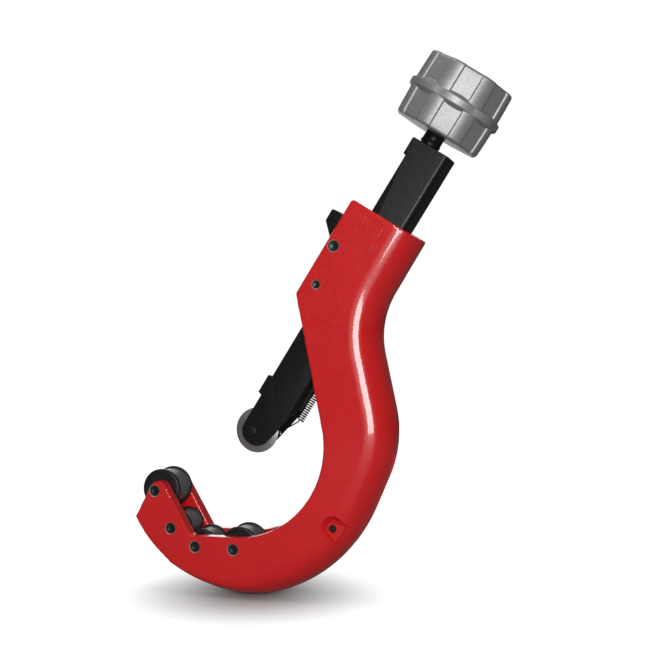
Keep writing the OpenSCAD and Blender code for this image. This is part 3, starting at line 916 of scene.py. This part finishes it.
def helix_ridge(name, r, depth, low, high):
    """A right-hand thread with flat crests. Its rows of points follow the helix, so
    that the crests stay crisp."""
    around, rows, turns = 48, 10, int((high - low) / PITCH) + 3
    count = turns * rows
    start = low - 2 * PITCH
    verts = []
    for k in range(count + 1):
        off_crest = abs(2 * (k % rows) / rows - 1)
        radius = r - depth * min(1.0, max(0.0, 2.2 * off_crest - 0.7))
        for i in range(around):
            t = 2 * math.pi * i / around
            z = start + PITCH * (k / rows + i / around)
            verts.append((radius * math.cos(t), radius * math.sin(t), z))
    faces = []
    for k in range(count):
        for i in range(around - 1):
            a = k * around + i
            faces.append((a, a + 1, a + around + 1, a + around))
        if k < count - rows:
            a, b = (k + 1) * around - 1, (k + rows) * around
            faces.append((a, b, b + around, a + around))
    # both ends are closed by fans about the axis
    foot = list(range(around)) + [k * around for k in range(rows, 0, -1)]
    head = [count * around + i for i in range(around)]
    head += [k * around + around - 1 for k in range(count - 1, count - rows - 1, -1)]
    for rim, z in ((foot, start), (head, start + turns * PITCH)):
        hub = len(verts)
        verts.append((0, 0, z + PITCH / 2))
        faces += [(hub, a, b) for a, b in zip(rim, rim[1:] + rim[:1])]
    ridge = outward(new_object(name, verts, faces))
    reach = 9
    ends = ((low - reach, low), (high, high + reach))
    return cut(ridge, *[block("cut", (-reach, -reach, z0), (reach, reach, z1)) for z0, z1 in ends])


def feed_screw():
    """Thread from the tail to the thrust block, a plain tail below it and a plain shank above."""
    thread_low, thread_high, tail_r, tail_low = -93.5, 29.5, 2.5, -99.5
    screw = helix_ridge("feed_screw_look", SCREW_R, 0.85, thread_low, thread_high)
    tail = lathe_z("tail", [(tail_r - 0.5, tail_low), (tail_r, tail_low + 0.5), (tail_r, thread_low + 1)])
    top = KNOB_Z + SCREW_IN_KNOB
    shank = lathe_z("shank", [(SCREW_R, thread_high - 0.5), (SCREW_R, top - 0.5), (SCREW_R - 0.5, top)])
    return add(screw, tail, shank)


def knob_hub():
    """Shoulder between the slide and the knob, with a shallow neck."""
    low, r, bore = SLIDE_TOP + SLIDE_CLEARANCE, 4.8, SCREW_R + PRESS_FIT
    profile = [
        (bore, low),
        (r - 0.5, low),
        (r, low + 0.5),
        (r, low + 1.6),
        (r - 0.25, low + 1.9),
        (r - 0.25, KNOB_Z - 0.6),
        (r, KNOB_Z - 0.3),
        (r, KNOB_Z),
        (bore, KNOB_Z),
    ]
    return ring_z("knob_hub_look", profile)


KNOB_SIDES = 8
KNOB_SIDE_R = 20.6
KNOB_RING_R = 22.2
KNOB_TURN = -6.9  # degrees from the drawing's axes at rest


def knob_angles():
    """Angles round one side of the knob, from its middle to the ridge beside it,
    close together at the panel's edge."""
    across = [0.0, 1.1, 2.2, 3.2, 4.0, 4.25, 4.42, 4.6, 4.75]
    flat = [math.atan2(x, KNOB_SIDE_R) for x in across]
    last, corner = flat[-1], math.pi / KNOB_SIDES
    return flat + [last + (corner - last) * i / 7 for i in range(1, 8)]


def knob_radius(turn, z):
    """Radius of the knob's surface at an angle from the middle of a side and a height from its lower end."""
    ridge_r, recess, panel_half, wall = 9.4, 0.7, 4.4, 0.32
    taper, ring_sink, ring_slope, ring_half, blend = 0.45, 0.75, 1.5, 1.5, 0.22
    middle = KNOB_H / 2
    corner = math.pi / KNOB_SIDES
    hub = (KNOB_SIDE_R - ridge_r) / math.cos(corner)
    # an eight-sided body whose corners are rounded into broad ridges
    flat_end = math.atan2(hub * math.sin(corner), KNOB_SIDE_R)
    if abs(turn) < flat_end:
        r = KNOB_SIDE_R / math.cos(turn)
    else:
        away = corner - abs(turn)
        r = hub * math.cos(away) + math.sqrt(ridge_r**2 - (hub * math.sin(away)) ** 2)
    off = abs(r * math.sin(turn))
    r -= recess * smooth_step((panel_half + wall - off) / wall)
    r -= taper * (abs(z - middle) / middle) ** 2
    # the ring bulges over each side and sinks into the ridges
    crest = KNOB_RING_R - ring_sink * (turn / corner) ** 2
    ring = crest - ring_slope * max(0.0, abs(z - middle) - ring_half)
    return soft_max(r, ring, blend)


def smooth_step(x):
    x = min(1.0, max(0.0, x))
    return x * x * (3 - 2 * x)


def soft_max(a, b, width):
    """The larger of two values, with the change from one to the other rounded."""
    share = min(1.0, max(0.0, 0.5 + 0.5 * (a - b) / width))
    return b + (a - b) * share + width * share * (1 - share)


def knob():
    """Loops of the knob's surface from its lower end up, close together across the ring."""
    half = knob_angles()
    side = [-t for t in reversed(half[1:])] + half[:-1]
    step, rest = 2 * math.pi / KNOB_SIDES, math.radians(KNOB_TURN)
    turns = [(t, rest + t + step * (k + 0.5)) for k in range(KNOB_SIDES) for t in side]
    edge, middle, ring_zone, fine = 1.3, KNOB_H / 2, 4, 0.2
    heights = [edge + (middle - ring_zone - edge) * i / 5 for i in range(6)]
    heights += [middle - ring_zone + fine * i for i in range(1, 20)]
    heights += [KNOB_H - z for z in reversed(heights)]
    levels = []
    for i in range(6):
        a = math.pi / 2 * i / 6
        levels.append((edge - edge * math.sin(a), edge - edge * math.cos(a)))
    rounded = [(0.0, z) for z in heights]
    top = [(drop, KNOB_H - z) for drop, z in reversed(levels)]
    loops = []
    for drop, z in levels + rounded + top:
        loop = []
        for turn, angle in turns:
            r = knob_radius(turn, min(max(z, edge), KNOB_H - edge)) - drop
            loop.append((r * math.cos(angle), r * math.sin(angle), KNOB_Z + z))
        loops.append(loop)
    obj = stack("knob_look", loops)
    # the top is dished, and the screw's bore enters from below
    top_z, dish_r, dish_depth = KNOB_Z + KNOB_H, 13.0, 0.9
    bore_r = SCREW_R + PRESS_FIT
    dish = lathe_z("cut", [(dish_r, top_z - dish_depth), (dish_r + 1.2, top_z), (dish_r + 2.5, top_z + 1)])
    bore = lathe_z("cut", [(bore_r, KNOB_Z - 1), (bore_r, KNOB_Z + SCREW_IN_KNOB)], 64)
    return cut(obj, dish, bore)


def screw_group():
    place(feed_screw(), "screw", "black_finish", BLACK, ["feed_screw"], 35)
    place(knob_hub(), "screw", "black_finish", BLACK, ["knob_hub"])
    place(knob(), "screw", "cast_metal", CAST, ["knob"], 50)


# ---- release lever ----

LEVER_CORNERS = [
    (-7.4, -8.6, 0.8),
    (-21.5, -8.6, 0.8),
    (-21.5, -14.7, 0.8),
    (-13.2, -22.5, 1.5),
    (-13.2, -46.5, 1),
    (-5.6, -46.5, 0.8),
    (-5.6, -19, 0.8),
    (-7.4, -15.5, 1),
]
NUT_TOP = -27.0
NUT_LOW = -37.6
LEVER_SPRING_HALF = 2.5


def release_lever():
    half, nut_half, nut_seat_x = 7.6, 5.65, -10.6
    room, room_below, room_above = LEVER_SPRING_HALF + 0.3, 4.6, 6.6
    x, z = LEVER_PIN
    stop_x, stop_z = STOP_PIN
    fork = STOP_PIN_R + 0.5
    obj = prism("release_lever_look", rounded_loop(LEVER_CORNERS), -half, half)
    cut(
        obj,
        block("cut", (nut_seat_x, -nut_half, NUT_LOW - 0.1), (0, nut_half, NUT_TOP + 0.1)),
        block("cut", (stop_x, -THROUGH, stop_z - fork), (0, THROUGH, stop_z + fork)),
        rod("cut", STOP_PIN, STOP_PIN_R + 0.12, -THROUGH, THROUGH, 48),
        rod("cut", LEVER_PIN, LEVER_PIN_R + RUN_FIT, -THROUGH, THROUGH, 64),
        block("cut", (-THROUGH, -room, z - room_below), (0, room, z + room_above)),
        block("cut", (x + 0.5, -room, z), (0, room, 0)),
        rod("cut", NUT_RIVET, NUT_RIVET_R + PRESS_FIT, -THROUGH, THROUGH, 32),
    )
    return bevel(obj, 0.25)


# ---- springs ----


def wire(name, points, r, sides=8):
    """A round wire bent through the points, which lie close together on its curves."""
    p = np.array(points, float)
    d = np.vstack([p[1] - p[0], p[2:] - p[:-2], p[-1] - p[-2]])
    d /= np.linalg.norm(d, axis=1)[:, None]
    up = np.array([0.31, 0.87, 0.38])
    loops = []
    for point, along in zip(p, d):
        up = up - along * (up @ along)
        up /= np.linalg.norm(up)
        side = np.cross(along, up)
        angles = [2 * math.pi * i / sides for i in range(sides)]
        loops.append([point + r * (up * math.cos(t) + side * math.sin(t)) for t in angles])
    return stack(name, loops)


def eased(points, r, steps=6):
    """A bent line through the points, each inner corner rounded to about radius r."""
    out = [points[0]]
    for a, b, c in zip(points, points[1:], points[2:]):
        a, b, c = (np.array(v, float) for v in (a, b, c))
        first = b + (a - b) / np.linalg.norm(a - b) * r
        last = b + (c - b) / np.linalg.norm(c - b) * r
        for i in range(steps + 1):
            t = i / steps
            out.append(tuple((1 - t) ** 2 * first + 2 * t * (1 - t) * b + t**2 * last))
    return out + [points[-1]]


def return_spring():
    """Hung by a loop from the cast bar and wound down the back of the slide, with a
    leg bent over to the slide's side."""
    wire_r, coil_r, top, low, pitch = 0.34, 1.6, -14.0, -99.5, 1.15
    loop_r, loop_end, loop_sweep = SPRING_BAR_R + 0.1 + wire_r, -60, 330
    x = SPRING_X
    points = []
    for i in range(25):
        t = math.radians(loop_end + loop_sweep * (1 - i / 24))
        points.append((x + loop_r * math.cos(t), 0, SPRING_BAR_Z + loop_r * math.sin(t)))
    turns = (top - low) / pitch
    steps = int(turns * 16)
    for i in range(steps + 1):
        t = 2 * math.pi * turns * i / steps
        points.append((x + coil_r * math.cos(t), coil_r * math.sin(t), top - pitch * turns * i / steps))
    hx, hy, hz = SPRING_HOOK
    leg = eased([points[-1], (x - 1, 3.0, low - 1.5), (hx, hy, hz), (hx, hy + 2.9, hz)], 0.6)
    return wire("return_spring_look", points + leg[1:], wire_r, 8)


def lever_spring():
    """Torsion coil round the pivot, one leg on the lever and one against the upper bridge."""
    wire_r, coil_r = 0.36, 3.2
    x, z = LEVER_PIN
    reach = LEVER_SPRING_HALF - wire_r
    turns = 5.5
    points = [(x - coil_r, -reach, z - 4.1)]
    for i in range(133):
        t = math.pi + 2 * math.pi * turns * i / 132
        points.append((x + coil_r * math.cos(t), reach * (i / 66 - 1), z - coil_r * math.sin(t)))
    points.append((x + coil_r, reach, -7.9))
    return wire("lever_spring_look", points, wire_r)


def lever_group():
    place(release_lever(), "lever", "black_finish", BLACK, ["release_lever"])
    place(lever_spring(), "frame", "spring_steel", SPRING, ["lever_spring"], 60)
    spring = place(return_spring(), None, "spring_steel", SPRING, ["return_spring"], 60)
    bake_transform(spring)


# ---- CAD pieces that are kept ----


def dress(node, material):
    """Gives a kept CAD piece broken edges and a finish. Its mesh stays as packed."""
    obj = frame["nodes"][node]
    obj.data.materials.clear()
    obj.data.materials.append(material)
    weld = obj.modifiers.new("weld", "WELD")
    weld.merge_threshold = 0.01 * MM
    edges = obj.modifiers.new("edges", "BEVEL")
    edges.width = 0.15 * MM
    edges.segments = 2
    edges.limit_method = "ANGLE"
    edges.angle_limit = math.radians(40)


def kept_pieces():
    for node in ("thrust_block", "tail_block"):
        dress(node, BLACK)
    for node in ("axle_clip", "wheel_washers", "thrust_collar", "knob_pin", "half_nut", "nut_rivet"):
        dress(node, STEEL)


# ---- stage, light and camera ----

CAMERA_AZIMUTH = 17.6
CAMERA_ELEVATION = -1.26
CAMERA_DISTANCE = 0.4792
CAMERA_AIM = (0.0388, 0.0608)
CAMERA_LENS = 58.3
SENSOR_WIDTH = 36.0
# Softboxes as (name, azimuth, elevation, distance, width, height, watts), in degrees and metres
SOFTBOXES = [
    ("key", 17, 7, 0.9, 0.22, 0.5, 7.6),
    ("top", -60, 78, 1.0, 0.4, 0.4, 2.4),
    ("rear", 205, 10, 1.0, 0.6, 0.5, 2.0),
]


def floor(z, foot):
    """A grey floor that takes the lamps' soft shadows, with a painted shadow round the foot of the tool: its
    white glow, seen only by the camera, is taken away near the foot and runs out into white further off.
    """
    size, near, far = 6.0, 0.0, 0.078
    corners = [(-size, -size, z), (size, -size, z), (size, size, z), (-size, size, z)]
    obj = new_object("floor", corners, [(0, 1, 2, 3)])
    material = bpy.data.materials.new("floor")
    material.use_nodes = True
    nodes, links = material.node_tree.nodes, material.node_tree.links
    shader = nodes["Principled BSDF"]
    shader.inputs["Base Color"].default_value = (0.3, 0.3, 0.3, 1)
    shader.inputs["Roughness"].default_value = 1.0
    shader.inputs["Specular IOR Level"].default_value = 0.0
    shader.inputs["Emission Color"].default_value = (1, 1, 1, 1)
    place = nodes.new("ShaderNodeTexCoord")
    away = nodes.new("ShaderNodeVectorMath")
    away.operation = "DISTANCE"
    away.inputs[1].default_value = (foot, 0, z)
    links.new(place.outputs["Object"], away.inputs[0])
    # painted shadow: the camera-only white glow is nothing at the foot and full by the far distance, leaving
    # a dark patch round the foot
    painted_shadow_fade = nodes.new("ShaderNodeMapRange")
    painted_shadow_fade.interpolation_type = "SMOOTHSTEP"
    painted_shadow_fade.inputs["From Min"].default_value = near
    painted_shadow_fade.inputs["From Max"].default_value = far
    painted_shadow_fade.inputs["To Min"].default_value = 0.0
    painted_shadow_fade.inputs["To Max"].default_value = 1.0
    links.new(away.outputs["Value"], painted_shadow_fade.inputs["Value"])
    ray = nodes.new("ShaderNodeLightPath")
    glow = nodes.new("ShaderNodeMath")
    glow.operation = "MULTIPLY"
    links.new(ray.outputs["Is Camera Ray"], glow.inputs[0])
    links.new(painted_shadow_fade.outputs["Result"], glow.inputs[1])
    links.new(glow.outputs["Value"], shader.inputs["Emission Strength"])
    obj.data.materials.append(material)


def surroundings():
    """White behind the object; a dim, slightly warm studio for everything else."""
    world = bpy.data.worlds.new("studio")
    bpy.context.scene.world = world
    world.use_nodes = True
    nodes, links = world.node_tree.nodes, world.node_tree.links
    seen, lit = nodes["Background"], nodes.new("ShaderNodeBackground")
    seen.inputs["Color"].default_value = (1, 1, 1, 1)
    seen.inputs["Strength"].default_value = 1.0
    lit.inputs["Color"].default_value = (1.0, 0.985, 0.96, 1)
    lit.inputs["Strength"].default_value = 0.1
    ray = nodes.new("ShaderNodeLightPath")
    mix = nodes.new("ShaderNodeMixShader")
    links.new(ray.outputs["Is Camera Ray"], mix.inputs["Fac"])
    links.new(lit.outputs["Background"], mix.inputs[1])
    links.new(seen.outputs["Background"], mix.inputs[2])
    links.new(mix.outputs["Shader"], nodes["World Output"].inputs["Surface"])


def direction(azimuth, elevation):
    """Unit vector towards an azimuth from -Y round to +X, and an elevation, in degrees."""
    a, e = math.radians(azimuth), math.radians(elevation)
    return Vector((math.sin(a) * math.cos(e), -math.cos(a) * math.cos(e), math.sin(e)))


def softbox(aim, name, azimuth, elevation, distance, width, height, watts):
    light = bpy.data.lights.new(name, "AREA")
    light.shape = "RECTANGLE"
    light.size, light.size_y = width, height
    light.energy = watts
    obj = bpy.data.objects.new(name, light)
    bpy.context.scene.collection.objects.link(obj)
    obj.location = aim + direction(azimuth, elevation) * distance
    obj.rotation_euler = (aim - obj.location).to_track_quat("-Z", "Y").to_euler()


def studio(cast_frame):
    low, high = cad_box
    centre = (low + high) / 2
    foot = min((v.co for v in cast_frame.data.vertices), key=lambda co: co.z)
    floor(low.z - 0.0002, foot.x)
    surroundings()
    for box in SOFTBOXES:
        softbox(centre, *box)
    camera = bpy.data.cameras.new("camera")
    camera.lens = CAMERA_LENS
    camera.sensor_width = SENSOR_WIDTH
    obj = bpy.data.objects.new("camera", camera)
    bpy.context.scene.collection.objects.link(obj)
    aim = Vector((CAMERA_AIM[0], 0, CAMERA_AIM[1]))
    obj.location = aim + direction(CAMERA_AZIMUTH, CAMERA_ELEVATION) * CAMERA_DISTANCE
    obj.rotation_euler = (aim - obj.location).to_track_quat("-Z", "Y").to_euler()
    bpy.context.scene.camera = obj
    bpy.context.scene.view_settings.view_transform = "Standard"


# ---- build ----

cast_frame = place(casting(), "frame", "red_paint", [RED, RIM], ["frame"], 35)
pins_and_rollers()
slide_group()
screw_group()
lever_group()
kept_pieces()
studio(cast_frame)
